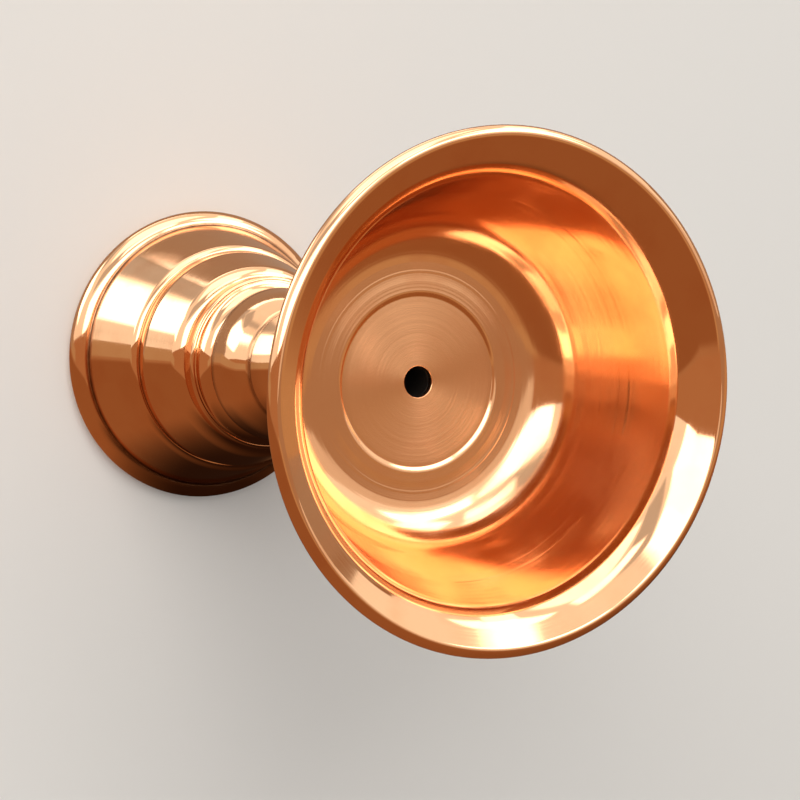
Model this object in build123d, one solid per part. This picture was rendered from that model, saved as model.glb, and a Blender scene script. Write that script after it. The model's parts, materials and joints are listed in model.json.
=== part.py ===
from build123d import *
import os
from math import asin, atan2, cos, degrees, hypot, radians, sin, tan

# A free-standing butter lamp: a spun copper bowl screwed onto a stem of spun shells that one rod clamps
# together. +Z is the lamp's axis, and the origin is the middle of the foot, on the surface it stands on.
# Every size is in millimetres. Each tier's radius is the next one's plus a step, from the knop down to
# the foot and from the stud out to the bowl's rim.

# Sheet and fits
sheet = 0.9                  # wall of every spun shell
thread_clearance = 0.08      # radial, between a screwed piece and its hole
rod_clearance = 0.2          # radial, between the tie rod and the shells it passes through
bowl_gap = 0.35              # between the bowl's underside and the collar below it
flange_clearance = 0.4       # radial, round the stud's flange and the washer under it
collar_clearance = 0.2       # radial, between the collar's body and the neck's top
stud_end_gap = 0.35          # below the stud's end, in its hole

# Tie rod and what holds its lower end
rod_radius = 2.5
rod_in_collar = 4.5          # length of rod screwed into the collar
rod_tail = 1.5               # rod standing out below the nut
nut_wall = 1.5               # from the rod to the nut's flats
nut_thickness = 4.0
nut_chamfer = 0.5
foot_washer_width = 4.8
foot_washer_thickness = 1.0
lock_washer_width = 1.7
lock_washer_thickness = 1.2
lock_washer_slit = 0.8

# Stud under the bowl, with the wick's blind hole
wick_hole_radius = 2.2
wick_floor = 1.9             # metal left below the wick's hole
stud_flange_radius = 9.0
stud_flange_thickness = 1.85
stud_thread_radius = 5.0
stud_thread_depth = 0.8
stud_thread_pitch = 1.5
stud_thread_turns = 5
stud_pilot_length = 1.5
seat_thickness = 0.8         # washer that the stud's flange beds on

# Collar at the top of the neck
collar_rim = 3.6             # width of the collar outside the stud's flange
collar_floor = 1.15          # thickness below the washer
collar_edge = 1.1            # rounding of the collar's outer edges
collar_wall = 1.12           # of its body, round the stud's thread
collar_web = 0.5             # from the stud's hole down to the tie rod

# Knop: the dome below the stem's seam
knop_top_radius = 9.35
knop_top_bend = 0.2          # inside bend radius at the seam
knop_upper_spread = 2.0      # outward over the steeper upper slope
knop_upper_height = 3.8
knop_lower_spread = 0.7      # outward over the lower slope
knop_lower_height = 4.2
knop_bend = 9.0              # radius of the dome's curve

# Neck: the waisted shell between seam and collar
neck_inset = 0.1             # inside the knop's top edge
neck_foot_height = 10.2      # from the seam to the crossing of the two slopes
neck_waist_drop = 8.6        # from the collar's body down to that crossing
neck_waist_inset = 1.3       # of that crossing, inside the collar's body
neck_waist_bend = 26.0       # radius of the curve that rounds it off
neck_top_overhang = 0.2      # of the top edge's corner, outside the collar before it is rounded
neck_top_bend = 0.25         # inside bend radius at the neck's top edge

# Ring between knop and drum
ring_inset = 0.35            # inside the knop's base
ring_cove_depth = 0.6
ring_wall = 2.6              # behind the cove
ring_band_step = 2.0         # outward to the band
ring_band_height = 2.4
ring_cove_height = 3.6
ring_edge = 0.5              # rounding of the band's upper edge

# Drum: the rounded tier on the foot
drum_top_step = 1.2          # outside the ring
drum_spread = 2.45
drum_slope_height = 8.3
drum_skirt_height = 1.8      # upright part at the drum's base
drum_top_bend = 1.5          # inside bend radius at the top edge
drum_skirt_bend = 1.2        # inside bend radius above the skirt

# Foot: a cone with an outward curl at its base and a flat top
foot_top_step = 0.95         # outside the drum
foot_spread = 5.7            # from the top edge to the outside of the curl
foot_height = 15.3
foot_top_bend = 0.25         # inside bend radius at the foot's top edge
foot_curl_hollow = 1.4       # radius of the space inside the curl
foot_curl_opening = 65.0     # degrees left open in the curl
foot_flat_depth = 0.25       # how far the curl is dressed flat to stand on

# Bowl, from the recess in its floor outwards
recess_inset = 0.4           # of the recess's edge, inside the collar
recess_depth = 0.4
recess_step = 1.0            # width of the recess's sloping edge
recess_bend = 1.2            # inside bend radius at that edge
floor_width = 9.0            # from the recess to where floor and wall would cross
floor_rise = 0.35
floor_corner_bend = 7.6      # radius of the curve between floor and wall
lower_wall_lean = 3.91       # outward over the wall's lower slope
lower_wall_height = 9.45
wall_bend = 50.0             # radius of the gentle curve between the two slopes
upper_wall_lean = 3.45       # outward over the steeper upper slope
upper_wall_height = 12.85
lip_bend = 5.1               # inside bend radius between wall and lip
lip_width = 6.04             # from the wall to the outside of the curled rim
lip_height = 2.7             # from the wall to the top of the curled rim
rim_curl_hollow = 0.2        # radius of the space inside the curl
rim_curl_opening = 85.0      # degrees left open in the curl

# Shares of a straight run that a bend may take up
end_run_share = 0.95
inner_run_share = 0.48
edge_share = 0.45

# Radii that follow
rod_hole_radius = rod_radius + rod_clearance
screwed_hole_radius = rod_radius + thread_clearance
collar_radius = stud_flange_radius + flange_clearance + collar_rim
collar_bore_radius = stud_thread_radius + thread_clearance
collar_body_radius = collar_bore_radius + collar_wall
neck_base_radius = knop_top_radius - neck_inset
neck_waist_radius = collar_body_radius - neck_waist_inset
neck_top_radius = collar_radius + neck_top_overhang
knop_middle_radius = knop_top_radius + knop_upper_spread
knop_radius = knop_middle_radius + knop_lower_spread
ring_top_radius = knop_radius - ring_inset
ring_cove_radius = ring_top_radius - ring_cove_depth
ring_bore_radius = ring_cove_radius - ring_wall
ring_radius = ring_top_radius + ring_band_step
drum_top_radius = ring_radius + drum_top_step
drum_radius = drum_top_radius + drum_spread
foot_top_radius = drum_radius + foot_top_step
foot_radius = foot_top_radius + foot_spread
foot_curl_radius = sheet + foot_curl_hollow
recess_radius = collar_radius - recess_inset
floor_corner_radius = recess_radius + floor_width
wall_middle_radius = floor_corner_radius + lower_wall_lean
wall_top_radius = wall_middle_radius + upper_wall_lean
rim_radius = wall_top_radius + lip_width
rim_curl_radius = sheet + rim_curl_hollow

# Heights that follow, stacked from the surface up
stud_thread_length = stud_thread_pitch * stud_thread_turns
stud_shank_length = stud_thread_length + stud_pilot_length
stud_depth = stud_shank_length - seat_thickness - collar_floor
collar_body_length = stud_depth + stud_end_gap + collar_web + rod_in_collar
drum_base = foot_height
drum_top = drum_base + drum_skirt_height + drum_slope_height
ring_base = drum_top
knop_base = ring_base + ring_band_height + ring_cove_height
knop_middle = knop_base + knop_lower_height
neck_base = knop_middle + knop_upper_height
neck_waist = neck_base + neck_foot_height
collar_body_end = neck_waist + neck_waist_drop
rod_top = collar_body_end + rod_in_collar
collar_base = collar_body_end + collar_body_length
stud_end = collar_base - stud_depth
seat_base = collar_base + collar_floor
stud_flange_base = seat_base + seat_thickness
bowl_underside = stud_flange_base + stud_flange_thickness
collar_top = bowl_underside - bowl_gap
recess_floor = bowl_underside + sheet
recess_edge = recess_floor + recess_depth
floor_corner = recess_edge + floor_rise
wall_middle = floor_corner + lower_wall_height
wall_top = wall_middle + upper_wall_height
rim_top = wall_top + lip_height
foot_washer_base = foot_height - sheet - foot_washer_thickness
lock_washer_base = foot_washer_base - lock_washer_thickness
nut_base = lock_washer_base - nut_thickness
rod_bottom = nut_base - rod_tail


def right_of(leg):
    # unit vector square to a leg of a section's line, on its right-hand side
    return Vector(leg.Y, -leg.X) / leg.length


def sheet_section(points, bends):
    # a strip of sheet: the visible line through (radius, height) points and a parallel line to its right,
    # each corner bent to an inside radius that the straight runs beside it leave room for
    corners = [Vector(*point) for point in points]
    legs = [end - start for start, end in zip(corners, corners[1:])]
    visible_radii = []
    hidden_radii = []
    hidden = [corners[0] + right_of(legs[0]) * sheet]
    for i in range(1, len(legs)):
        before = legs[i - 1]
        after = legs[i]
        half_turn = radians(before.get_angle(after)) / 2
        room_before = before.length * (end_run_share if i == 1 else inner_run_share)
        room_after = after.length * (end_run_share if i == len(legs) - 1 else inner_run_share)
        room = min(room_before, room_after) / tan(half_turn)
        turns_right = before.X * after.Y < before.Y * after.X
        visible_extra = sheet if turns_right else 0
        bend = min(bends[i - 1], room - visible_extra)
        visible_radii.append(bend + visible_extra)
        hidden_radii.append(bend + sheet - visible_extra)
        both = right_of(before) + right_of(after)
        hidden.append(corners[i] + both * (sheet / (1 + right_of(before).dot(right_of(after)))))
    hidden.append(corners[-1] + right_of(legs[-1]) * sheet)
    visible_line = FilletPolyline(*corners, radius=visible_radii)
    hidden_line = FilletPolyline(*hidden, radius=hidden_radii)
    start = Line(corners[0], hidden[0])
    end = Line(corners[-1], hidden[-1])
    return make_face([*visible_line.edges(), end, *hidden_line.edges(), start])


def curl_section(centre, radius, start_angle, opening):
    # a rolled edge: sheet bent round a hollow, clockwise from the start angle
    outer = CenterArc(centre, radius, start_angle, opening - 360)
    inner = CenterArc(centre, radius - sheet, start_angle, opening - 360)
    return make_face([outer, Line(outer @ 1, inner @ 1), inner, Line(inner @ 0, outer @ 0)])


def turn(section):
    # the solid that a section of (radius, height) makes about the lamp's axis
    return revolve(Plane.XZ * section, Axis.Z)


def cylinder(radius, base, top):
    return extrude(Pos(0, 0, base) * Circle(radius), top - base)


def washer(hole_radius, width, base, thickness):
    top = base + thickness
    return cylinder(hole_radius + width, base, top) - cylinder(hole_radius, base, top)


def make_foot():
    centre = Vector(foot_radius - foot_curl_radius, foot_curl_radius - foot_flat_depth)
    groove = centre + Vector(0, foot_curl_radius)
    top_edge = Vector(foot_top_radius, foot_height)
    slope = (groove - top_edge).normalized()
    # the cone runs on into the curl's wall, and the curl starts at the cone's back
    into_curl = groove + slope * sheet
    back = into_curl + right_of(slope) * sheet - centre
    cone = sheet_section([(rod_hole_radius, foot_height), top_edge, into_curl], [foot_top_bend])
    curl = curl_section(centre, foot_curl_radius, degrees(atan2(back.Y, back.X)), foot_curl_opening)
    return split(turn(cone) + turn(curl), bisect_by=Plane.XY)


def make_foot_drum():
    section = sheet_section(
        [
            (rod_hole_radius, drum_top),
            (drum_top_radius, drum_top),
            (drum_radius, drum_base + drum_skirt_height),
            (drum_radius, drum_base),
        ],
        [drum_top_bend, drum_skirt_bend],
    )
    return turn(section)


def make_stem_ring():
    cove_start = ring_base + ring_band_height
    cove_middle = cove_start + ring_cove_height / 2
    band_edge = (ring_radius, cove_start)
    outline = make_face(
        [
            Line((ring_bore_radius, ring_base), (ring_radius, ring_base)),
            Line((ring_radius, ring_base), band_edge),
            ThreePointArc(band_edge, (ring_cove_radius, cove_middle), (ring_top_radius, knop_base)),
            Line((ring_top_radius, knop_base), (ring_bore_radius, knop_base)),
            Line((ring_bore_radius, knop_base), (ring_bore_radius, ring_base)),
        ]
    )
    edge = outline.vertices().sort_by_distance(band_edge)[0]
    return turn(fillet(edge, min(ring_edge, edge_share * ring_band_height)))


def make_knop():
    section = sheet_section(
        [
            (rod_hole_radius, neck_base),
            (knop_top_radius, neck_base),
            (knop_middle_radius, knop_middle),
            (knop_radius, knop_base),
        ],
        [knop_top_bend, knop_bend],
    )
    return split(turn(section), bisect_by=Plane.XY.offset(knop_base))


def make_neck():
    section = sheet_section(
        [
            (collar_body_radius + collar_clearance, collar_base),
            (neck_top_radius, collar_base),
            (neck_waist_radius, neck_waist),
            (neck_base_radius, neck_base),
        ],
        [neck_top_bend, neck_waist_bend],
    )
    return split(turn(section), bisect_by=Plane.XY.offset(neck_base))


def make_neck_collar():
    flange = cylinder(collar_radius, collar_base, collar_top)
    flange = fillet(flange.edges(), min(collar_edge, edge_share * (collar_top - collar_base)))
    body = cylinder(collar_body_radius, collar_body_end, collar_top)
    seat = cylinder(stud_flange_radius + flange_clearance, seat_base, collar_top)
    bore = cylinder(collar_bore_radius, stud_end - stud_end_gap, seat_base)
    rod_hole = cylinder(screwed_hole_radius, collar_body_end, seat_base)
    return flange + body - seat - bore - rod_hole


def make_tie_rod():
    return cylinder(rod_radius, rod_bottom, rod_top)


def make_foot_washer():
    return washer(rod_hole_radius, foot_washer_width, foot_washer_base, foot_washer_thickness)


def make_lock_washer():
    whole = washer(rod_hole_radius, lock_washer_width, lock_washer_base, lock_washer_thickness)
    slit = Box(
        rod_hole_radius + lock_washer_width,
        lock_washer_slit,
        lock_washer_thickness,
        align=(Align.MIN, Align.CENTER, Align.MIN),
    )
    return whole - Pos(0, 0, lock_washer_base) * slit


def make_foot_nut():
    flats_radius = rod_radius + nut_wall
    hexagon = RegularPolygon(flats_radius, 6, major_radius=False)
    prism = extrude(Pos(0, 0, nut_base) * hexagon, nut_thickness)
    round_blank = cylinder(flats_radius + nut_chamfer, nut_base, lock_washer_base)
    chamfered = chamfer(round_blank.edges().group_by(Axis.Z)[0], nut_chamfer)
    return (prism & chamfered) - cylinder(screwed_hole_radius, nut_base, lock_washer_base)


def make_seat_washer():
    hole_radius = stud_thread_radius + flange_clearance
    return washer(hole_radius, stud_flange_radius - hole_radius, seat_base, seat_thickness)


def make_wick_stud():
    flange = cylinder(stud_flange_radius, stud_flange_base, bowl_underside)
    thread = cylinder(stud_thread_radius, stud_end + stud_pilot_length, bowl_underside)
    pilot = cylinder(stud_thread_radius - stud_thread_depth, stud_end, bowl_underside)
    return flange + thread + pilot - cylinder(wick_hole_radius, stud_end + wick_floor, bowl_underside)


def make_bowl():
    curl_centre = Vector(rim_radius - rim_curl_radius, rim_top - rim_curl_radius)
    # the lip runs from the wall to where it touches the curl's circle on the inner side
    across = curl_centre.X - wall_top_radius
    up = curl_centre.Y - wall_top
    lip_angle = atan2(up, across) + asin(rim_curl_radius / hypot(across, up))
    touch = curl_centre + Vector(-sin(lip_angle), cos(lip_angle)) * rim_curl_radius
    inside = sheet_section(
        [
            (wick_hole_radius, recess_floor),
            (recess_radius - recess_step, recess_floor),
            (recess_radius, recess_edge),
            (floor_corner_radius, floor_corner),
            (wall_middle_radius, wall_middle),
            (wall_top_radius, wall_top),
            touch,
        ],
        [recess_bend, recess_bend, floor_corner_bend, wall_bend, lip_bend],
    )
    curl = curl_section(curl_centre, rim_curl_radius, degrees(lip_angle) + 90, rim_curl_opening)
    return turn(inside) + turn(curl)


pieces = {
    "foot": make_foot(),
    "foot_drum": make_foot_drum(),
    "stem_ring": make_stem_ring(),
    "knop": make_knop(),
    "neck": make_neck(),
    "neck_collar": make_neck_collar(),
    "tie_rod": make_tie_rod(),
    "foot_washer": make_foot_washer(),
    "lock_washer": make_lock_washer(),
    "foot_nut": make_foot_nut(),
    "seat_washer": make_seat_washer(),
    "wick_stud": make_wick_stud(),
    "bowl": make_bowl(),
}

os.makedirs("parts", exist_ok=True)
for name, piece in pieces.items():
    export_step(piece, f"parts/{name}.step")
    print(name, "volume", round(piece.volume, 1), "mm3")
print("rim", round(2 * rim_radius, 2), "foot", round(2 * foot_radius, 2), "height", round(rim_top, 2), "mm")
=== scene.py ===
import bmesh
import bpy
import json
import numpy as np
from mathutils import Matrix, Vector


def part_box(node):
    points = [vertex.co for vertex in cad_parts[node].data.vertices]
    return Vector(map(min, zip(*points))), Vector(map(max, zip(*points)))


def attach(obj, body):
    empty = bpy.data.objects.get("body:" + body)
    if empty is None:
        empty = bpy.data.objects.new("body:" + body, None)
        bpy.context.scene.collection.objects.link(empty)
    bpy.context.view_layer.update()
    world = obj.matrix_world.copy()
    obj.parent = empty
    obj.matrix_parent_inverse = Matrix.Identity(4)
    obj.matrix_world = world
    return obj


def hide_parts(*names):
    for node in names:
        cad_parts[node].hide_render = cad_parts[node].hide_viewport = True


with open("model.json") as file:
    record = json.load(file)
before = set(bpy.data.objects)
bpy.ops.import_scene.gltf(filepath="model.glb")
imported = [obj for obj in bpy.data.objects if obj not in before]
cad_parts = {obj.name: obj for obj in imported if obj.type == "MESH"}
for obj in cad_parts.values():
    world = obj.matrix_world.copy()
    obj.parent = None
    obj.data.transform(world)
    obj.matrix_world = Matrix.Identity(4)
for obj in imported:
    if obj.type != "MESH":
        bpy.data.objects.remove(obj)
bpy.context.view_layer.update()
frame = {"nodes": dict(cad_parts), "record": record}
print("frame loaded:", len(frame["nodes"]), "nodes")

mm = 0.001  # shapes are worked out in millimetres and put into the meshes in metres


def nodeRange(node):  # lowest and highest height and the outer radius of a CAD node, in mm
    low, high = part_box(node)
    return low.z / mm, high.z / mm, high.x / mm


wickHole = next(mount for mount in frame["record"]["mounts"] if mount["name"] == "wick_hole")
holeRadius = wickHole["dims"]["r_mm"]


# Profiles: lines of (radius, height) in mm

sheetWork = dict(
    wall=0.9,         # spun copper sheet
    brokenEdge=0.12,  # rounding of cut edges
    arcStep=6.0,      # degrees between points on a bend
    runStep=0.9,      # between points on a straight run
    support=0.05,     # first point of a run beside a bend
    shortRun=0.2,     # a run shorter than this has no points of its own
)


def arcPoints(centre, radius, startDeg, endDeg):
    # centre + radius * (cos, sin) of evenly spaced angles
    count = int(abs(endDeg - startDeg) / sheetWork["arcStep"]) + 3
    angle = np.radians(np.linspace(startDeg, endDeg, count))
    return np.column_stack([centre[0] + radius * np.cos(angle), centre[1] + radius * np.sin(angle)])


def runPoints(start, end):
    # evenly spaced points between two ends, with one more close to each end
    length = np.hypot(*(end - start))
    if length < sheetWork["shortRun"]:
        return np.empty((0, 2))
    near = sheetWork["support"] / length
    share = np.linspace(near, 1 - near, int(length / sheetWork["runStep"]) + 2)
    return start + share[:, None] * (end - start)


def bentLine(points, radii):
    # each corner becomes the arc of its radius that touches both runs, and the runs get points between
    points = np.asarray(points, float)
    legs = np.diff(points, axis=0)
    legs /= np.hypot(legs[:, 0], legs[:, 1])[:, None]
    line = [points[:1]]
    for corner, before, after, radius in zip(points[1:-1], legs[:-1], legs[1:], radii):
        cross = before[0] * after[1] - before[1] * after[0]
        turn = np.arctan2(cross, before @ after)
        reach = radius * abs(np.tan(turn / 2))
        start = corner - before * reach
        side = np.sign(cross)
        centre = start + side * radius * np.array([-before[1], before[0]])
        first = np.degrees(np.arctan2(*(start - centre)[::-1]))
        bend = arcPoints(centre, radius, first, first + np.degrees(turn))
        line += [runPoints(line[-1][-1], start), bend]
    line += [runPoints(line[-1][-1], points[-1]), points[-1:]]
    return np.concatenate(line)


def parallelLine(points, distance):
    # the same corners moved to the right of the line by a distance, mitred
    points = np.asarray(points, float)
    legs = np.diff(points, axis=0)
    legs /= np.hypot(legs[:, 0], legs[:, 1])[:, None]
    normals = np.column_stack([legs[:, 1], -legs[:, 0]])
    before = np.vstack([normals[:1], normals])
    after = np.vstack([normals, normals[-1:]])
    share = distance / (1 + np.sum(before * after, axis=1))
    return points + (before + after) * share[:, None]


def sheetSides(points, bends):
    # corners and radii of a sheet's two sides: the shown line, and the line one wall to its right, where an
    # inside bend is one wall tighter than the outside of it
    wall = sheetWork["wall"]
    legs = np.diff(np.asarray(points, float), axis=0)
    turnsRight = legs[:-1, 0] * legs[1:, 1] < legs[:-1, 1] * legs[1:, 0]
    shown = np.asarray(bends, float) + wall * turnsRight
    hidden = np.asarray(bends, float) + wall * ~turnsRight
    return np.asarray(points, float), shown, parallelLine(points, wall), hidden


def sheetLoop(points, bends, floor=None):
    # closed loop round a sheet: shown side, cut end, hidden side, and back to the middle of the first cut end
    front, shown, back, hidden = sheetSides(points, bends)
    if floor is not None:  # the lower end is dressed level with the piece it stands on
        slope = (back[-1] - back[-2]) / (back[-1] - back[-2])[1]
        back[-1] = back[-1] + slope * (floor - back[-1][1])
    edge = sheetWork["brokenEdge"]
    middle = (front[0] + back[0]) / 2
    corners = np.vstack([middle, front, back[::-1], middle])
    radii = np.concatenate([[edge], shown, [edge, edge], hidden[::-1], [edge]])
    return bentLine(corners, radii)


def turnedLoop(points, radii):
    # closed loop of a turned piece, from the middle of its first side round to the same place
    points = np.asarray(points, float)
    middle = (points[0] + points[-1]) / 2
    return bentLine(np.vstack([middle, points, middle]), radii)


# Surfaces

spinWork = dict(
    columns=240,
    shadeAndDirtReach=0.3,
    markEdge=0.3,        # width over which the turning marks fade
    threadCrest=1.25,    # above 1 gives the ridge a flat top
    threadFlank=2.75,
    sameRadius=0.01,     # rows this close to the thread's radius are cut by it
    poleReach=1e-8,      # metres
)


def spin(name, loop, thread=None, shadeAndDirtPlaces=(), marked=None, columns=spinWork["columns"]):
    # surface of revolution: (r cos t, r sin t, z) for each profile point (r, z) and column angle t
    # a thread cuts into r: depth * (1 - a clipped ridge of the phase z / pitch - t / 2 pi), faded at the ends
    # run is the length along the profile, and the painted shade and dirt is exp(-(distance / reach)^2) from
    # each place listed for it, the grooves, seams and wick hole
    # marks is 1 inside a marked radius, and a share from there to where the profile first passes their end
    closed = np.allclose(loop[0], loop[-1])
    rows = loop[:-1] if closed else loop
    turn = np.linspace(0, 2 * np.pi, columns, endpoint=False)
    radius = np.repeat(rows[:, :1], columns, axis=1)
    height = np.repeat(rows[:, 1:], columns, axis=1)
    if thread:
        phase = np.mod(height / thread["pitch"] - turn / (2 * np.pi), 1)
        ridge = np.clip(spinWork["threadCrest"] - spinWork["threadFlank"] * np.abs(phase - 0.5), 0, 1)
        onThread = np.abs(rows[:, :1] - thread["radius"]) < spinWork["sameRadius"]
        fadeIn = np.clip((height - thread["low"]) / thread["fade"], 0, 1)
        fadeOut = np.clip((thread["high"] - height) / thread["fade"], 0, 1)
        cut = thread["depth"] * (1 - ridge * np.minimum(fadeIn, fadeOut))
        radius = radius - cut * onThread
    vertices = np.stack([radius * np.cos(turn), radius * np.sin(turn), height], axis=-1).reshape(-1, 3)
    count = len(rows)
    row = np.arange(count if closed else count - 1)[:, None] * columns
    below = (np.arange(1, len(row) + 1)[:, None] % count) * columns
    column = np.arange(columns)[None, :]
    beside = (column + 1) % columns
    quads = np.stack([row + column, below + column, below + beside, row + beside], axis=-1).reshape(-1, 4)
    mesh = bpy.data.meshes.new(name)
    mesh.from_pydata(vertices * mm, [], quads)
    steps = np.hypot(*np.diff(rows, axis=0, prepend=rows[:1]).T)
    run = np.repeat(np.cumsum(steps), columns)
    # painted shade, with some dirt and soot, fading out from each listed groove, seam or hole
    reach = [np.hypot(radius - r, height - z).ravel() for r, z in shadeAndDirtPlaces]
    shadeAndDirt = np.max([np.exp(-((d / spinWork["shadeAndDirtReach"]) ** 2)) for d in reach] + [0 * run], axis=0)
    marks = 0 * run
    if marked:
        recess = np.clip((marked["radius"] - radius) / spinWork["markEdge"], 0, 1)
        inside = np.cumsum(rows[:, 0] > marked["end"])[:, None] == 0
        marks = (inside * (recess + marked["share"] * (1 - recess))).ravel()
    for key, values in (("run", run), ("shadeAndDirt", shadeAndDirt), ("marks", marks)):
        mesh.attributes.new(key, "FLOAT", "POINT").data.foreach_set("value", values.astype(np.float32))
    if rows[:, 0].min() == 0:  # each pole becomes one point
        shell = bmesh.new()
        shell.from_mesh(mesh)
        bmesh.ops.remove_doubles(shell, verts=shell.verts, dist=spinWork["poleReach"])
        shell.to_mesh(mesh)
        shell.free()
    mesh.update()
    mesh.shade_smooth()
    piece = bpy.data.objects.new(name, mesh)
    bpy.context.scene.collection.objects.link(piece)
    return piece


def fitPiece(piece, node, body, material):
    piece.data.materials.append(material)
    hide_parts(node)
    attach(piece, body)


# Shader maths


class Shade:  # a socket that can be added, multiplied and mixed
    def __init__(self, tree, socket=None):
        self.tree = tree
        self.socket = socket

    def add(self, kind, settings=None, inputs=None, out=0):
        node = self.tree.nodes.new("ShaderNode" + kind)
        for key, value in (settings or {}).items():
            setattr(node, key, value)
        for key, value in (inputs or {}).items():
            if isinstance(value, Shade):
                self.tree.links.new(value.socket, node.inputs[key])
            else:
                node.inputs[key].default_value = value
        return Shade(self.tree, node.outputs[out] if len(node.outputs) else None)

    def maths(self, operation, first, second=0.0):
        return self.add("Math", {"operation": operation}, {0: first, 1: second})

    def __add__(self, other):
        return self.maths("ADD", self, other)

    def __radd__(self, other):
        return self.maths("ADD", other, self)

    def __sub__(self, other):
        return self.maths("SUBTRACT", self, other)

    def __rsub__(self, other):
        return self.maths("SUBTRACT", other, self)

    def __mul__(self, other):
        return self.maths("MULTIPLY", self, other)

    def __rmul__(self, other):
        return self.maths("MULTIPLY", other, self)

    def between(self, low, high):  # 0 below low, 1 above high, smooth between
        inputs = {"Value": self, "From Min": low, "From Max": high}
        return self.add("MapRange", {"interpolation_type": "SMOOTHSTEP"}, inputs)

    def mix(self, first, second):  # two colours, by this value
        inputs = {"Factor": self}
        for key, colour in ((6, first), (7, second)):  # the node's colour sockets
            inputs[key] = colour if isinstance(colour, Shade) else (*colour, 1)
        return self.add("Mix", {"data_type": "RGBA"}, inputs, out=2)

    def place(self):  # Object coordinates
        return self.add("TexCoord", out=3)

    def vector(self, operation, first, second=(0, 0, 0), out=0):
        return self.add("VectorMath", {"operation": operation}, {0: first, 1: second}, out)

    def noise(self, scale, detail):  # 3-D noise, scale per metre
        return self.add("TexNoise", None, {"Vector": self.place(), "Scale": scale, "Detail": detail})

    def lines(self, where, perUnit, detail):  # 1-D noise along a value
        inputs = {"W": where, "Scale": perUnit, "Detail": detail}
        return self.add("TexNoise", {"noise_dimensions": "1D"}, inputs)

    def bump(self, height, distance, strength=1.0, under=None):
        inputs = {"Height": height, "Distance": distance, "Strength": strength}
        return self.add("Bump", None, inputs if under is None else {**inputs, "Normal": under})

    def attribute(self, name):  # a mesh's own value
        return self.add("Attribute", {"attribute_name": name}, out=2)


def newMaterial(name):
    material = bpy.data.materials.new(name)
    material.use_nodes = True
    tree = material.node_tree
    tree.nodes.clear()
    return material, Shade(tree)


def finishMaterial(shade, inputs):
    surface = shade.add("BsdfPrincipled", None, inputs)
    shade.add("OutputMaterial", None, {"Surface": surface})


copperLook = dict(
    bright=(0.96, 0.56, 0.32),
    deep=(0.91, 0.48, 0.255),
    deepShare=0.7,
    # painted shade in the grooves and seams, with some polishing dirt
    shadeAndDirt=(0.10, 0.028, 0.010),
    shadeAndDirtShare=(0.6, 0.5),      # even, and in smudges
    hazePerMetre=140,
    hazeRange=(0.42, 0.72),
    smudgesPerMetre=700,
    rough=0.05,
    hazeRough=0.05,
    lineRough=0.03,
    markRough=0.13,
    shadeAndDirtRough=0.2,
    linesPerMm=3.2,
    lineRange=(0.35, 0.7),
    lineDepth=0.4e-6,
    markDepth=0.6e-6,
    streaksPerMm=1.1,
    streakDepth=1.2e-5,
    streakMarks=(0.0, 0.3),    # share of turning marks at which streaks begin and are full
    beadRadius=0.0155,         # fine turned line round the bowl's floor
    beadWidth=0.0003,
    beadHeight=1.5e-5,
    spunStretch=0.85,          # highlights drawn out across the turning marks
    spunTurn=0.25,
    wavesPerMetre=70.0,
    waveDepth=3e-5,
)


def polishedCopper(name, look):
    # haze tints the metal, painted shade with some polishing dirt darkens the grooves and seams, and ridges
    # are lines, streaks and one bead that follow the turning
    material, s = newMaterial(name)
    run = s.attribute("run")
    shadeAndDirt = s.attribute("shadeAndDirt")
    marks = s.attribute("marks")
    haze = s.noise(look["hazePerMetre"], 3).between(*look["hazeRange"])
    smudge = s.noise(look["smudgesPerMetre"], 2)
    lines = s.lines(run, look["linesPerMm"], 3)
    wave = s.noise(look["wavesPerMetre"], 1)
    colour = (haze * look["deepShare"]).mix(look["bright"], look["deep"])
    # painted shade with some polishing dirt in the grooves and seams
    colour = (shadeAndDirt * (look["shadeAndDirtShare"][0] + smudge * look["shadeAndDirtShare"][1])).mix(colour, look["shadeAndDirt"])
    rough = look["rough"] + haze * look["hazeRough"] + lines.between(*look["lineRange"]) * look["lineRough"]
    rough = rough + marks * look["markRough"] + shadeAndDirt * look["shadeAndDirtRough"]
    turned = marks.between(*look["streakMarks"])
    streaks = s.lines(run, look["streaksPerMm"], 2) * turned
    radius = s.vector("LENGTH", s.vector("MULTIPLY", s.place(), (1, 1, 0)), out=1)
    bead = 1 - s.maths("ABSOLUTE", radius - look["beadRadius"]).between(0, look["beadWidth"])
    ridges = lines * (look["lineDepth"] + marks * look["markDepth"]) + streaks * look["streakDepth"]
    ridges = ridges + bead * turned * look["beadHeight"]
    normal = s.bump(wave, look["waveDepth"], under=s.bump(ridges, 1.0))
    spun = {"Anisotropic": look["spunStretch"], "Anisotropic Rotation": look["spunTurn"]}
    inputs = {"Base Color": colour, "Metallic": 1.0, "Roughness": rough, "Normal": normal}
    finishMaterial(s, {**inputs, **spun})
    return material


brassLook = dict(
    bright=(0.87, 0.68, 0.34),
    deep=(0.74, 0.53, 0.22),
    # painted shade inside the wick hole, also standing for soot
    holeShadeAndSoot=(0.012, 0.009, 0.007),
    hazePerMetre=260,
    hazeRange=(0.35, 0.75),
    linesPerMm=6.0,
    lineDepth=1.5e-6,
    rough=0.16,
    hazeRough=0.12,
    lineRough=0.08,
    holeShadeAndSootRough=0.3,
)


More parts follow.
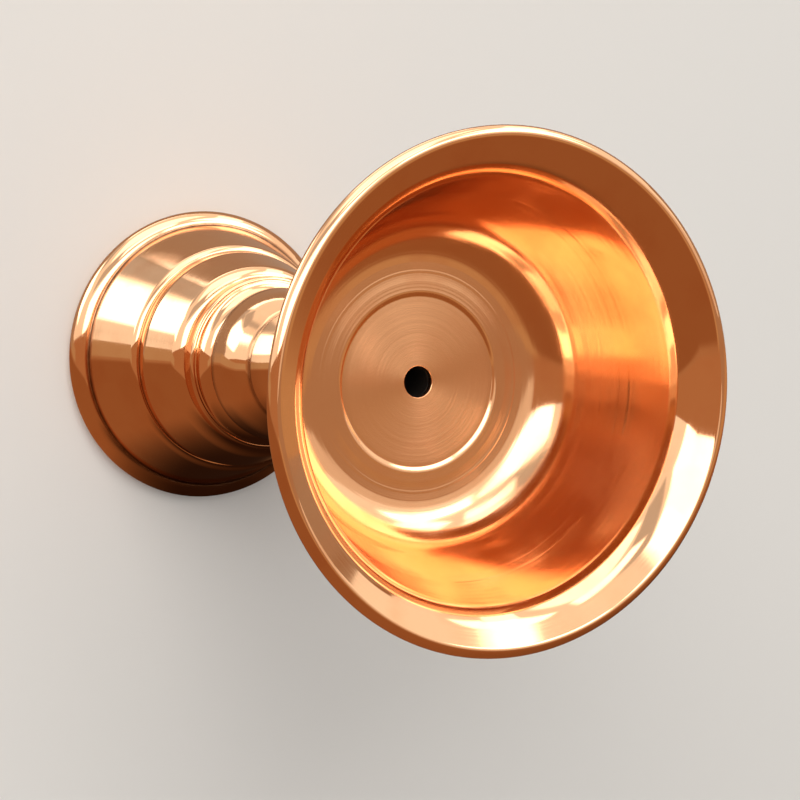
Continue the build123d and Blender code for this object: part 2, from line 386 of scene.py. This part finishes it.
def turnedBrass(name, look):
    material, s = newMaterial(name)
    lines = s.lines(s.attribute("run"), look["linesPerMm"], 2)
    haze = s.noise(look["hazePerMetre"], 3).between(*look["hazeRange"])
    holeShadeAndSoot = s.attribute("shadeAndDirt")
    # the wick hole is painted near black and less metallic: painted shade, also standing for soot
    colour = holeShadeAndSoot.mix(haze.mix(look["bright"], look["deep"]), look["holeShadeAndSoot"])
    rough = look["rough"] + haze * look["hazeRough"] + lines * look["lineRough"] + holeShadeAndSoot * look["holeShadeAndSootRough"]
    normal = s.bump(lines, look["lineDepth"])
    metal = 1.0 - holeShadeAndSoot
    finishMaterial(s, {"Base Color": colour, "Metallic": metal, "Roughness": rough, "Normal": normal})
    return material


steelLook = dict(
    bright=(0.68, 0.67, 0.64),
    dull=(0.46, 0.45, 0.42),
    spanglesPerMetre=900,
    spangleRange=(0.3, 0.7),
    spangleDepth=4e-6,
    spangleStrength=0.6,
    stainsPerMetre=180,
    stainRange=(0.5, 0.8),
    shares=(0.6, 0.4),         # of spangle and stain in the colour
    rough=0.28,
    spangleRough=0.1,
    stainRough=0.15,
)


def platedSteel(name, look):
    material, s = newMaterial(name)
    spangle = s.noise(look["spanglesPerMetre"], 2).between(*look["spangleRange"])
    stain = s.noise(look["stainsPerMetre"], 4).between(*look["stainRange"])
    colour = (spangle * look["shares"][0] + stain * look["shares"][1]).mix(look["bright"], look["dull"])
    rough = look["rough"] + spangle * look["spangleRough"] + stain * look["stainRough"]
    normal = s.bump(spangle, look["spangleDepth"], look["spangleStrength"])
    finishMaterial(s, {"Base Color": colour, "Metallic": 1.0, "Roughness": rough, "Normal": normal})
    return material


leatherLook = dict(
    light=(0.36, 0.19, 0.09),
    dark=(0.17, 0.08, 0.035),
    grainPerMetre=2600,
    grainRange=(0.3, 0.7),
    grainDepth=5e-5,
    grainStrength=0.8,
    patchesPerMetre=350,
    shares=(0.6, 0.4),         # of grain and patch in the colour
    rough=0.62,
    grainRough=0.2,
)


def washerLeather(name, look):
    material, s = newMaterial(name)
    grain = s.noise(look["grainPerMetre"], 3)
    patch = s.noise(look["patchesPerMetre"], 3)
    mixed = grain.between(*look["grainRange"]) * look["shares"][0] + patch * look["shares"][1]
    colour = mixed.mix(look["dark"], look["light"])
    rough = look["rough"] + grain * look["grainRough"]
    normal = s.bump(grain, look["grainDepth"], look["grainStrength"])
    finishMaterial(s, {"Base Color": colour, "Roughness": rough, "Normal": normal})
    return material


copper = polishedCopper("polished_copper", copperLook)
brass = turnedBrass("turned_brass", brassLook)
steel = platedSteel("plated_steel", steelLook)
leather = washerLeather("washer_leather", leatherLook)
print("materials made")


# Bowl

bowlSizes = dict(
    recessRadius=12.6,
    recessTop=0.4,             # above the sheet on the stud
    recessStep=(0.6, 0.2),     # outward and up, from corner to corner, as the next four
    floor=(2.9, 0.0),
    floorEdge=(6.1, 0.35),
    lowerWall=(3.91, 9.45),
    upperWall=(3.45, 12.85),
    bends=(0.6, 0.6, 0.6, 7.6, 50.0, 5.1),
    curlHollow=0.2,
    curlOpening=85.0,          # degrees
    marksEnd=28.6,             # radius at which the turning marks stop
    marksShare=0.3,            # of the marks that reach beyond the recess
)


def bowlLoop(sizes):
    # sheet from the wick hole to the lip, then the rim's curl: an arc of the outside and one of the hollow
    base, top, rim = nodeRange("bowl")
    wall = sheetWork["wall"]
    recess = np.array([sizes["recessRadius"], base + wall + sizes["recessTop"]]) - sizes["recessStep"]
    corners = [np.array([holeRadius, recess[1]]), recess]
    for step in ("recessStep", "floor", "floorEdge", "lowerWall", "upperWall"):
        corners.append(corners[-1] + sizes[step])
    curl = wall + sizes["curlHollow"]
    centre = np.array([rim - curl, top - curl])
    lip = centre - corners[-1]
    angle = np.arctan2(lip[1], lip[0]) + np.arcsin(curl / np.hypot(*lip))
    corners.append(centre + curl * np.array([-np.sin(angle), np.cos(angle)]))
    front, shown, back, hidden = sheetSides(corners, sizes["bends"])
    back[:2, 1] = base  # the underside beds on the stud's flange
    edge = [sheetWork["brokenEdge"]]
    middle = (front[:1] + back[:1]) / 2
    start = np.degrees(angle) + 90
    end = start - 360 + sizes["curlOpening"]
    return np.concatenate([
        bentLine(np.vstack([middle, front]), np.concatenate([edge, shown])),
        arcPoints(centre, curl, start, end)[1:],
        arcPoints(centre, sizes["curlHollow"], end, start),
        bentLine(np.vstack([back[::-1], middle]), np.concatenate([hidden[::-1], edge]))[1:],
    ])


turnedMarks = dict(
    radius=bowlSizes["recessRadius"] - bowlSizes["recessStep"][0],
    end=bowlSizes["marksEnd"],
    share=bowlSizes["marksShare"],
)
bowl = spin("bowl_shell", bowlLoop(bowlSizes), marked=turnedMarks)
fitPiece(bowl, "bowl", "bowl", copper)


# Foot, drum, ring, knop and neck

footSizes = dict(
    topRadius=18.3,
    topBend=0.25,
    curlHollow=1.4,
    curlOpening=65.0,  # degrees
    flatDepth=0.25,    # pressed flat by this much
    rodHole=2.7,
)


def footLoop(sizes):
    # flat top and cone as sheet, then the base's curl, pressed flat on the surface it stands on
    base, top, radius = nodeRange("foot")
    wall = sheetWork["wall"]
    curl = wall + sizes["curlHollow"]
    centre = np.array([radius - curl, base + curl - sizes["flatDepth"]])
    groove = centre + np.array([0, curl])
    edge = np.array([sizes["topRadius"], top])
    slope = (groove - edge) / np.hypot(*(groove - edge))
    corners = [np.array([sizes["rodHole"], top]), edge, groove + slope * wall]
    front, shown, back, hidden = sheetSides(corners, [sizes["topBend"]])
    front[-1] = groove
    broken = [sheetWork["brokenEdge"]]
    middle = (front[:1] + back[:1]) / 2
    inner = back[-1] - centre
    start = np.degrees(np.arctan2(inner[1], inner[0]))
    end = start - 360 + sizes["curlOpening"]
    loop = np.concatenate([
        bentLine(np.vstack([middle, front]), np.concatenate([broken, shown])),
        arcPoints(centre, curl, 90, end)[1:],
        arcPoints(centre, sizes["curlHollow"], end, start),
        bentLine(np.vstack([back[::-1], middle]), np.concatenate([hidden[::-1], broken])),
    ])
    loop[:, 1] = np.maximum(loop[:, 1], base)
    return loop, groove


footProfile, footGroove = footLoop(footSizes)
foot = spin("foot_shell", footProfile, shadeAndDirtPlaces=[footGroove])
fitPiece(foot, "foot", "stand", copper)

drumSizes = dict(topRadius=14.9, skirt=1.8, bends=(1.5, 1.2), rodHole=2.7)


def drumLoop(sizes):
    # flat top, slope and upright skirt
    base, top, radius = nodeRange("foot_drum")
    skirt = base + sizes["skirt"]
    corners = [(sizes["rodHole"], top), (sizes["topRadius"], top), (radius, skirt), (radius, base)]
    return sheetLoop(corners, sizes["bends"])


drumBase, _, drumRadius = nodeRange("foot_drum")
drum = spin("drum_shell", drumLoop(drumSizes), shadeAndDirtPlaces=[(drumRadius, drumBase)])
fitPiece(drum, "foot_drum", "stand", copper)

ringSizes = dict(bore=8.5, band=2.4, cove=11.1, topRadius=11.7, edge=0.5)


def ringLoop(sizes):
    # upright band, then a cove: the circle through the band's edge, the cove's waist and the top's edge
    base, top, radius = nodeRange("stem_ring")
    ends = np.array([[radius, base + sizes["band"]], [sizes["topRadius"], top]])
    waist = np.array([sizes["cove"], ends[:, 1].mean()])
    square = np.vstack([ends, waist])
    solved = np.linalg.solve(np.column_stack([2 * square, np.ones(3)]), np.sum(square**2, axis=1))
    centre = solved[:2]
    reach = np.sqrt(solved[2] + centre @ centre)
    angles = np.degrees(np.arctan2(*(ends - centre).T[::-1])) % 360
    cove = arcPoints(centre, reach, angles[0], angles[1])
    edge = sheetWork["brokenEdge"]
    middle = np.array([sizes["bore"], (base + top) / 2])
    tangent = cove[1] - cove[0]
    lower = [middle, (sizes["bore"], base), (radius, base), ends[0], ends[0] + 2 * tangent]
    upper = [cove[-2], cove[-1], (sizes["bore"], top), middle]
    return np.concatenate([
        bentLine(lower, [edge, edge, sizes["edge"]])[:-1],
        cove[3:-2],
        bentLine(upper, [edge, edge]),
    ])[::-1]


ring = spin("ring_turned", ringLoop(ringSizes))
fitPiece(ring, "stem_ring", "stand", copper)

knopSizes = dict(topRadius=9.35, upper=(2.0, 3.8), bends=(0.2, 9.0), rodHole=2.7)


def knopLoop(sizes):
    # flat top, steep upper slope and rounded lower slope
    base, top, radius = nodeRange("knop")
    edge = np.array([sizes["topRadius"], top])
    middle = edge + np.array([sizes["upper"][0], -sizes["upper"][1]])
    corners = [np.array([sizes["rodHole"], top]), edge, middle, np.array([radius, base])]
    return sheetLoop(corners, sizes["bends"], floor=base)


knopBase, knopTop, knopRadius = nodeRange("knop")
knopSeams = [(knopRadius, knopBase), (knopSizes["topRadius"], knopTop)]
knop = spin("knop_shell", knopLoop(knopSizes), shadeAndDirtPlaces=knopSeams)
fitPiece(knop, "knop", "stand", copper)

neckSizes = dict(bore=6.4, topRadius=13.2, waist=(4.9, 10.2), baseRadius=9.25, bends=(0.25, 26.0))


def neckLoop(sizes):
    # flat top, flare, and the waist's long curve down to the seam
    base, top, _ = nodeRange("neck")
    waist = (sizes["waist"][0], base + sizes["waist"][1])
    corners = [(sizes["bore"], top), (sizes["topRadius"], top), waist, (sizes["baseRadius"], base)]
    return sheetLoop(corners, sizes["bends"], floor=base)


neck = spin("neck_shell", neckLoop(neckSizes), shadeAndDirtPlaces=[(neckSizes["baseRadius"], knopTop)])
fitPiece(neck, "neck", "stand", copper)

collarSizes = dict(
    edge=1.1,
    seatRadius=9.4,
    floor=1.15,      # seat above the neck's top
    bore=5.08,
    boreFloor=63.2,  # height
    rodHole=2.58,
    body=6.2,
)


def collarLoop(sizes):
    # flange with round edges, seat for the stud's flange, bore for the stud's thread and the body below
    base, top, radius = nodeRange("neck_collar")
    flange = nodeRange("neck")[1]
    seat = flange + sizes["floor"]
    points = [
        (sizes["rodHole"], sizes["boreFloor"]), (sizes["bore"], sizes["boreFloor"]), (sizes["bore"], seat),
        (sizes["seatRadius"], seat), (sizes["seatRadius"], top), (radius, top), (radius, flange),
        (sizes["body"], flange), (sizes["body"], base), (sizes["rodHole"], base),
    ]
    fine = sheetWork["brokenEdge"]
    radii = [fine, fine, fine, fine, fine, sizes["edge"], sizes["edge"], fine, fine, fine]
    return turnedLoop(points, radii)


collar = spin("collar_turned", collarLoop(collarSizes))
fitPiece(collar, "neck_collar", "stand", copper)


# Stud and tie rod, with their threads

studSizes = dict(
    flange=1.85,
    thread=5.0,
    depth=0.8,
    pitch=1.5,
    fade=0.9,
    rowsPerTurn=14,
    pilot=1.5,
    pilotEdge=0.5,
    wickFloor=1.9,
    holeShadeAndSootEdge=0.1,    # beyond the hole's radius
    columns=160,
)


def studLoop(sizes):
    # wick hole, flange, threaded shank and plain pilot, from the hole's floor round to the end's middle
    base, top, radius = nodeRange("wick_stud")
    shank = top - sizes["flange"]
    low = base + sizes["pilot"]
    root = sizes["thread"] - sizes["depth"]
    points = [
        (0, base + sizes["wickFloor"]), (holeRadius, base + sizes["wickFloor"]), (holeRadius, top),
        (radius, top), (radius, shank), (sizes["thread"], shank),
    ]
    fine = sheetWork["brokenEdge"]
    upper = bentLine(points, [fine] * 4)
    rows = np.arange(shank, low, -sizes["pitch"] / sizes["rowsPerTurn"])
    thread = np.column_stack([np.full(len(rows), sizes["thread"]), rows])
    lower = bentLine([(root, low), (root, base), (0, base)], [sizes["pilotEdge"]])
    return np.concatenate([upper, thread[1:], lower]), low, shank


studProfile, threadLow, threadHigh = studLoop(studSizes)
studThread = dict(studSizes, radius=studSizes["thread"], low=threadLow, high=threadHigh)
# the wick hole's walls and floor get painted shade, also standing for soot
holeShadeAndSootRadius = holeRadius + studSizes["holeShadeAndSootEdge"]
shadedSootyHole = [(r, z) for r, z in studProfile if r < holeShadeAndSootRadius and z > threadLow]
stud = spin(
    "wick_stud_turned", studProfile, thread=studThread, shadeAndDirtPlaces=shadedSootyHole, columns=studSizes["columns"],
)
fitPiece(stud, "wick_stud", "bowl", brass)

rodSizes = dict(depth=0.45, pitch=0.8, fade=0.6, rowsPerTurn=12, threaded=9.0, chamfer=0.5, columns=96)


def rodLoop(sizes):
    # chamfered ends, threaded where the nut and the collar grip it, plain between
    base, top, radius = nodeRange("tie_rod")
    step = sizes["pitch"] / sizes["rowsPerTurn"]
    low = np.arange(base + sizes["chamfer"], base + sizes["threaded"], step)
    high = np.arange(top - sizes["threaded"], top - sizes["chamfer"], step)
    rows = np.concatenate([low, high])
    side = np.column_stack([np.full(len(rows), radius), rows])
    ends = np.array([(0, base), (radius - sizes["chamfer"], base)])
    caps = np.array([(radius - sizes["chamfer"], top), (0, top)])
    return np.concatenate([ends, side, caps])[::-1]


rodBase, rodTop, rodRadius = nodeRange("tie_rod")
rodThread = dict(rodSizes, radius=rodRadius, low=rodBase, high=rodTop)
rod = spin("tie_rod_threaded", rodLoop(rodSizes), thread=rodThread, columns=rodSizes["columns"])
fitPiece(rod, "tie_rod", "stand", steel)

kept = dict(foot_washer=steel, lock_washer=steel, foot_nut=steel, seat_washer=leather)
for node, material in kept.items():  # shown as the CAD has them
    mesh = frame["nodes"][node].data
    mesh.materials.clear()
    mesh.materials.append(material)
print("pieces made")


# Camera at the photo's viewing angle: the lamp is seen from above and rolled onto its side

viewSizes = dict(
    place=(0.0, -0.158525, 0.356279),
    aim=(0.0025986, -0.0161077, 0.09995),
    roll=98.2414,
    lens=103.5,
    sensor=36,
    clipStart=0.01,
)


def placeCamera(sizes):
    data = bpy.data.cameras.new("photo_camera")
    data.lens = sizes["lens"]
    data.sensor_width = sizes["sensor"]
    data.clip_start = sizes["clipStart"]
    camera = bpy.data.objects.new("photo_camera", data)
    bpy.context.scene.collection.objects.link(camera)
    place = Vector(sizes["place"])
    look = (Vector(sizes["aim"]) - place).normalized()
    level = look.to_track_quat("-Z", "Y").to_matrix()
    rolled = level @ Matrix.Rotation(np.radians(sizes["roll"]), 3, "Z")
    camera.matrix_world = Matrix.Translation(place) @ rolled.to_4x4()
    bpy.context.scene.camera = camera
    return camera.matrix_world.to_3x3()


cameraTurn = placeCamera(viewSizes)


# Floor, light and cards that show only in reflections

floorLook = dict(
    half=8.0,
    colour=(0.80, 0.78, 0.75),
    cloudShade=0.97,
    cloudsPerMetre=6,
    rough=0.85,
    cloudRough=0.1,
)


def square(name, centre, across, up, half, material):
    # four corners at centre +- half of each side
    signs = ((-1, -1), (1, -1), (1, 1), (-1, 1))
    corners = [centre + across * (half[0] * i) + up * (half[1] * j) for i, j in signs]
    mesh = bpy.data.meshes.new(name)
    mesh.from_pydata([tuple(c) for c in corners], [], [(0, 1, 2, 3)])
    mesh.materials.append(material)
    plane = bpy.data.objects.new(name, mesh)
    bpy.context.scene.collection.objects.link(plane)
    return plane


def paleFloor(look):
    material, s = newMaterial("pale_floor")
    cloud = s.noise(look["cloudsPerMetre"], 3)
    tone = cloud.mix(look["colour"], tuple(c * look["cloudShade"] for c in look["colour"]))
    finishMaterial(s, {"Base Color": tone, "Roughness": look["rough"] + cloud * look["cloudRough"]})
    return material


floorHalf = (floorLook["half"], floorLook["half"])
floor = square(
    "floor", Vector((0, 0, 0)), Vector((1, 0, 0)), Vector((0, 1, 0)), floorHalf, paleFloor(floorLook),
)
floor.visible_glossy = False

mirroredSizes = dict(  # the level that the lamp is mirrored as lying on, in metres
    tilt=12.5,         # degrees that the camera looks down on it
    rimHeight=0.09995,
    rimRadius=0.035,
    rimDrop=0.0015,    # from the rim down to it
    footHeight=0.003,
    footRadius=0.024,
)
tilt = np.radians(mirroredSizes["tilt"])
upright = cameraTurn @ Vector((0, np.cos(tilt), np.sin(tilt)))  # up in the picture
rightward = cameraTurn @ Vector((1, 0, 0))
towards = rightward.cross(upright)  # to the camera, level
sideUp = Vector((upright.x, upright.y, 0)).normalized()  # upright, square to the lamp's axis
lowest = Vector((0, 0, mirroredSizes["rimHeight"])) - mirroredSizes["rimRadius"] * sideUp
contact = lowest - mirroredSizes["rimDrop"] * upright
footLow = Vector((0, 0, mirroredSizes["footHeight"])) - mirroredSizes["footRadius"] * sideUp


def wayTo(azimuth, elevation):
    # direction from the lamp: azimuth to the right of the camera, elevation above level
    a, e = np.radians((azimuth, elevation))
    return (rightward * np.sin(a) + towards * np.cos(a)) * np.cos(e) + upright * np.sin(e)


def card(name, centre, across, up, half, colour, strength=1.0):
    material, s = newMaterial(name)
    tint = colour(s) if callable(colour) else (*colour, 1)
    light = s.add("Emission", None, {"Color": tint, "Strength": strength})
    s.add("OutputMaterial", None, {"Surface": light})
    plane = square(name, centre, across, up, half, material)
    plane.visible_camera = False
    plane.visible_diffuse = False
    plane.visible_transmission = False
    plane.visible_shadow = False


groundLook = dict(
    half=(1.5, 1.5),
    near=(0.30, 0.125, 0.05),
    far=(0.42, 0.222, 0.113),
    reach=(0.36, 0.56),
    # painted sheen to the right of the lamp
    side=(0.52, 0.32, 0.165),
    sheenReach=(0.09, 0.19),
    shade=(0.02, 0.008, 0.004),
    # painted shadows under the bowl and at the foot, in metres from their middles
    bowlShadow=(0.03, 0.075),
    bowlShadowBack=0.06,  # behind the rim's lowest point
    footShadow=(0.006, 0.03),
)


def groundTone(s):
    # brown, lighter with distance, with a painted sheen to the right and painted shadows under the bowl and
    # at the foot
    look = groundLook
    place = s.place()

    def away(point):
        return s.vector("DISTANCE", place, point, out=1)

    tone = away(contact).between(*look["reach"]).mix(look["near"], look["far"])
    # painted sheen: lighter to the right of the lamp
    beside = s.vector("DOT_PRODUCT", s.vector("SUBTRACT", place, contact), rightward, out=1)
    tone = beside.between(*look["sheenReach"]).mix(tone, look["side"])
    # painted shadows of the lamp on the mirrored ground
    outsideBowlShadow = away(contact - towards * look["bowlShadowBack"]).between(*look["bowlShadow"])
    outsideFootShadow = away(footLow).between(*look["footShadow"])
    return (outsideBowlShadow * outsideFootShadow).mix(look["shade"], tone)


card("table_card", contact, rightward, towards, groundLook["half"], groundTone)

lowWalls = (  # azimuth, distance, half width, degrees above level, colour
    (-20, 0.7, 1.6, 19.0, (0.44, 0.222, 0.11)),
    (62, 0.8, 1.6, 5.5, (0.42, 0.26, 0.16)),
    (62, 0.84, 1.6, 16.0, (0.80, 0.66, 0.54)),
    (-105, 0.8, 1.6, 8.0, (0.50, 0.34, 0.20)),
    (130, 0.9, 0.38, 26.0, (0.34, 0.18, 0.09)),
)
for number, (azimuth, far, wide, top, colour) in enumerate(lowWalls):
    way = wayTo(azimuth, 0)
    half = far * np.tan(np.radians(top)) / 2
    middle = contact + way * far + upright * half
    card(f"low_wall_{number}", middle, upright.cross(way), upright, (wide, half), colour)

backWall = dict(far=0.30, half=(1.5, 0.16), colour=(0.40, 0.29, 0.21))
backCentre = contact - towards * backWall["far"] + upright * backWall["half"][1]
card("back_card", backCentre, rightward, upright, backWall["half"], backWall["colour"])

roomWhite = (1.12, 1.06, 0.98)
paneLook = dict(white=(1.0, 0.97, 0.92), fade=0.8)  # the edge starts to fade at this share of a half side
softBoxes = (  # azimuth, elevation, distance, width and height in degrees, strength
    (9, 29, 1.0, 66, 28, 3.7),
    (64, 33, 1.0, 30, 16, 4.4),
    (88, 48, 1.0, 30, 20, 3.6),
    (30, 58, 1.0, 30, 14, 3.2),
    (-100, 30, 1.0, 36, 26, 3.8),
    (-162, 46, 1.0, 36, 14, 2.8),
    (115, 54, 1.0, 30, 12, 2.6),
    (0, 86, 1.0, 50, 40, 2.4),
    (-8, 54, 1.06, 56, 20, 0.62),
    (-145, 30, 1.06, 56, 36, 0.6),
    (-112, 50, 1.06, 26, 12, 0.6),
)


def paneTone(centre, across, up, half, strength):
    # white in the middle, falling to the room's brightness at the edges
    dim = tuple(c / strength for c in roomWhite)

    def tone(s):
        offset = s.vector("SUBTRACT", s.place(), centre)

        def inside(way, reach):
            along = s.vector("DOT_PRODUCT", offset, way, out=1)
            return 1 - s.maths("ABSOLUTE", along).between(reach * paneLook["fade"], reach)

        return (inside(across, half[0]) * inside(up, half[1])).mix(dim, paneLook["white"])

    return tone


for number, (azimuth, elevation, far, width, height, strength) in enumerate(softBoxes):
    way = wayTo(azimuth, elevation)
    across = upright.cross(way).normalized()
    up = way.cross(across)
    half = far * np.tan(np.radians((width / 2, height / 2)))
    tone = paneTone(contact + way * far, across, up, half, strength)
    card(f"soft_box_{number}", contact + way * far, across, up, half, tone, strength)

keyLight = dict(place=(-0.55, -0.45, 0.9), aim=(0, 0, 0.05), size=0.9, energy=9.0, colour=(1.0, 0.97, 0.93))


def areaLight(name, sizes):
    data = bpy.data.lights.new(name, "AREA")
    data.size = sizes["size"]
    data.energy = sizes["energy"]
    data.color = sizes["colour"]
    light = bpy.data.objects.new(name, data)
    bpy.context.scene.collection.objects.link(light)
    light.location = sizes["place"]
    way = Vector(sizes["aim"]) - Vector(sizes["place"])
    light.rotation_euler = way.to_track_quat("-Z", "Y").to_euler()
    light.visible_glossy = False


areaLight("soft_key", keyLight)

worldLook = dict(plain=(0.48, 0.475, 0.465), mirrored=roomWhite)


def studioWorld(look):
    world = bpy.data.worlds.new("studio")
    bpy.context.scene.world = world
    world.use_nodes = True
    world.node_tree.nodes.clear()
    s = Shade(world.node_tree)
    glossy = s.add("LightPath", out=3)  # 1 for what is seen in a mirror
    sky = s.add("Background", None, {"Color": glossy.mix(look["plain"], look["mirrored"])})
    s.add("OutputWorld", None, {"Surface": sky})


studioWorld(worldLook)
bpy.context.scene.view_settings.view_transform = "Standard"
print("stage made")
